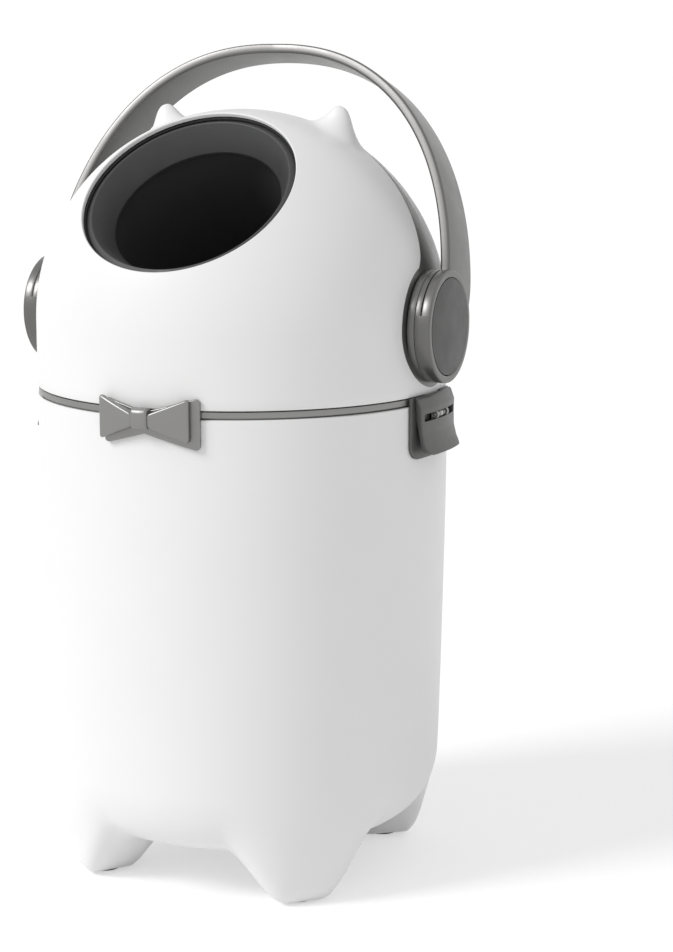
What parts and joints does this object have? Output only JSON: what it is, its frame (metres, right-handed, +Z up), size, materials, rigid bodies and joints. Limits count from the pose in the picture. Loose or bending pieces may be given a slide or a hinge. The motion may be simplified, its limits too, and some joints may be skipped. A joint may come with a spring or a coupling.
{
  "type": "nappy bin",
  "caption": "Tall round nappy bin on feet, with a domed lift-off head, a tilted opening to a turning drum with an inner piston, an arched carrying handle, side latches and a bow.",
  "frame": {"origin": "on the floor, under the middle of the bounding box; the bin's own axis stands 9.25 mm behind it", "axes": "+Z up, -Y the front with the bow and the opening, +X to the right as seen from the front"},
  "size_m": [0.325, 0.3188, 0.6041],
  "materials": {
    "white_shell": "satin moulded",
    "silver_grey": "satin, metallic look",
    "drum_grey": "fine matt",
    "soft_rubber": "matt",
    "bright_steel": "drawn",
    "pale_nylon": "satin moulded"
  },
  "bodies": {
    "base": {"bin_body": "white_shell", "foot_pad_front_left": "soft_rubber", "foot_pad_front_right": "soft_rubber", "foot_pad_rear_left": "soft_rubber", "foot_pad_rear_right": "soft_rubber", "collar_ring": "silver_grey", "bag_ring": "pale_nylon", "bow_clip": "silver_grey", "bow_wing_left": "silver_grey", "bow_wing_right": "silver_grey", "bow_knot": "silver_grey", "latch_base_left": "silver_grey", "latch_base_right": "silver_grey", "latch_pin_left": "bright_steel", "latch_pin_right": "bright_steel", "latch_spring_left": "bright_steel", "latch_spring_right": "bright_steel"},
    "latch_left": {"latch_lever_left": "silver_grey"},
    "latch_right": {"latch_lever_right": "silver_grey"},
    "head": {"head_shell": "white_shell", "head_floor": "white_shell", "floor_seal": "soft_rubber", "opening_seal": "soft_rubber", "side_inlay_left": "silver_grey", "side_inlay_right": "silver_grey", "axle_bush_left": "pale_nylon", "axle_bush_right": "pale_nylon"},
    "drum": {"drum_front": "drum_grey", "drum_back": "drum_grey", "chute_tube": "drum_grey", "handle_arch": "silver_grey", "axle_left": "pale_nylon", "axle_right": "pale_nylon", "hub_left": "silver_grey", "hub_right": "silver_grey", "hub_cap_left": "silver_grey", "hub_cap_right": "silver_grey", "hub_screw_left": "bright_steel", "hub_screw_right": "bright_steel"},
    "piston": {"piston": "drum_grey", "piston_seal": "soft_rubber"}
  },
  "joints": [
    {"name": "head_lift", "type": "slide", "parent": "base", "child": "head", "axis": [0, 0, 1], "range_m": [0, 0.2]},
    {"name": "drum_turn", "type": "hinge", "parent": "head", "child": "drum", "pos_m": [0, 0.00925, 0.408], "axis": [1, 0, 0], "range_deg": [0, 135]},
    {"name": "piston_slide", "type": "slide", "parent": "drum", "child": "piston", "axis": [0, -0.66, 0.7513], "range_m": [0, 0.186]},
    {"name": "latch_left_press", "type": "hinge", "parent": "base", "child": "latch_left", "pos_m": [-0.155, 0.00925, 0.3462], "axis": [0, -1, 0], "range_deg": [0, 8], "stiffness_Nm_per_rad": 0.05, "springref_deg": -11.46},
    {"name": "latch_right_press", "type": "hinge", "parent": "base", "child": "latch_right", "pos_m": [0.155, 0.00925, 0.3462], "axis": [0, 1, 0], "range_deg": [0, 8], "stiffness_Nm_per_rad": 0.05, "springref_deg": -11.46}
  ]
}
